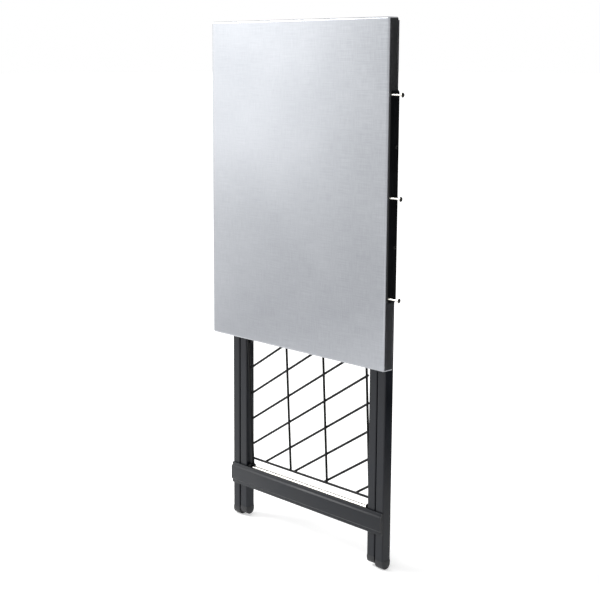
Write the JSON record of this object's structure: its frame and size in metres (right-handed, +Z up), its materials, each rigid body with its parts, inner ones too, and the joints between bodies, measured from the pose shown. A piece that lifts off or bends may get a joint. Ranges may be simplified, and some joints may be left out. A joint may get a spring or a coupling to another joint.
{
  "type": "folding table",
  "caption": "Free-standing folding work table, folded flat on its feet: steel tabletop hinged to two crossing leg frames, with a stowed wire shelf, a lower crossbar and a side hook rail.",
  "frame": {"origin": "centre of the folded table's footprint, on the floor", "axes": "+X across the tabletop towards the hook rail, -Y out of the tabletop's front face, +Z up"},
  "size_m": [0.636, 0.071, 1.301],
  "materials": {
    "brushed_sheet": "brushed",
    "polished_metal": "polished",
    "anthracite_paint": "satin powder coat",
    "black_paint": "satin",
    "black_plastic": "matte"
  },
  "bodies": {
    "tabletop": {"tabletop_tray": "brushed_sheet", "tabletop_stiffeners": "brushed_sheet", "hinge_bracket_left": "brushed_sheet", "hinge_bracket_right": "brushed_sheet", "hinge_pin_left": "polished_metal", "hinge_pin_right": "polished_metal", "catch_rod": "polished_metal", "catch_brackets": "brushed_sheet", "hook_rail": "black_paint", "hook_pegs": "polished_metal", "rail_screws": "black_paint"},
    "outer_frame": {"outer_leg_left": "anthracite_paint", "outer_leg_right": "anthracite_paint", "outer_foot_left": "black_plastic", "outer_foot_right": "black_plastic", "outer_top_caps": "black_plastic", "outer_hinge_bushes": "black_plastic", "outer_top_tube": "anthracite_paint", "crossbar": "anthracite_paint", "crossbar_end_caps": "black_plastic", "crossbar_rivets": "polished_metal", "pivot_bolts": "polished_metal"},
    "top_bar": {"top_bar": "anthracite_paint", "latch_hooks": "black_paint"},
    "inner_frame": {"inner_leg_left": "anthracite_paint", "inner_leg_right": "anthracite_paint", "inner_foot_left": "black_plastic", "inner_foot_right": "black_plastic", "inner_top_caps": "black_plastic", "inner_hinge_bushes": "black_plastic", "inner_cross_tube": "anthracite_paint", "shelf_rod": "polished_metal", "rod_washers": "black_plastic", "pivot_bushes": "polished_metal"},
    "shelf": {"wire_shelf": "black_paint", "shelf_eyes": "black_paint"}
  },
  "joints": [
    {"name": "tabletop_hinge", "type": "hinge", "parent": "outer_frame", "child": "tabletop", "pos_m": [-0.018, 0.021, 1.255], "axis": [-1, 0, 0], "range_deg": [0, 47.78]},
    {"name": "top_bar_slide", "type": "slide", "parent": "tabletop", "child": "top_bar", "axis": [0, 0, -1], "range_m": [0, 0.70351]},
    {"name": "inner_leg_hinge", "type": "hinge", "parent": "top_bar", "child": "inner_frame", "pos_m": [-0.018, 0.021, 1.2505], "axis": [1, 0, 0], "range_deg": [0, 131.68]},
    {"name": "shelf_hinge", "type": "hinge", "parent": "inner_frame", "child": "shelf", "pos_m": [-0.018, 0.021, 0.138], "axis": [1, 0, 0], "range_deg": [0, 43.99]}
  ],
  "couplings": [
    {"joint": "top_bar_slide", "follows": "tabletop_hinge", "m_per_rad": 0.8436},
    {"joint": "inner_leg_hinge", "follows": "tabletop_hinge", "ratio": 2.7559},
    {"joint": "shelf_hinge", "follows": "tabletop_hinge", "ratio": 0.92061}
  ]
}
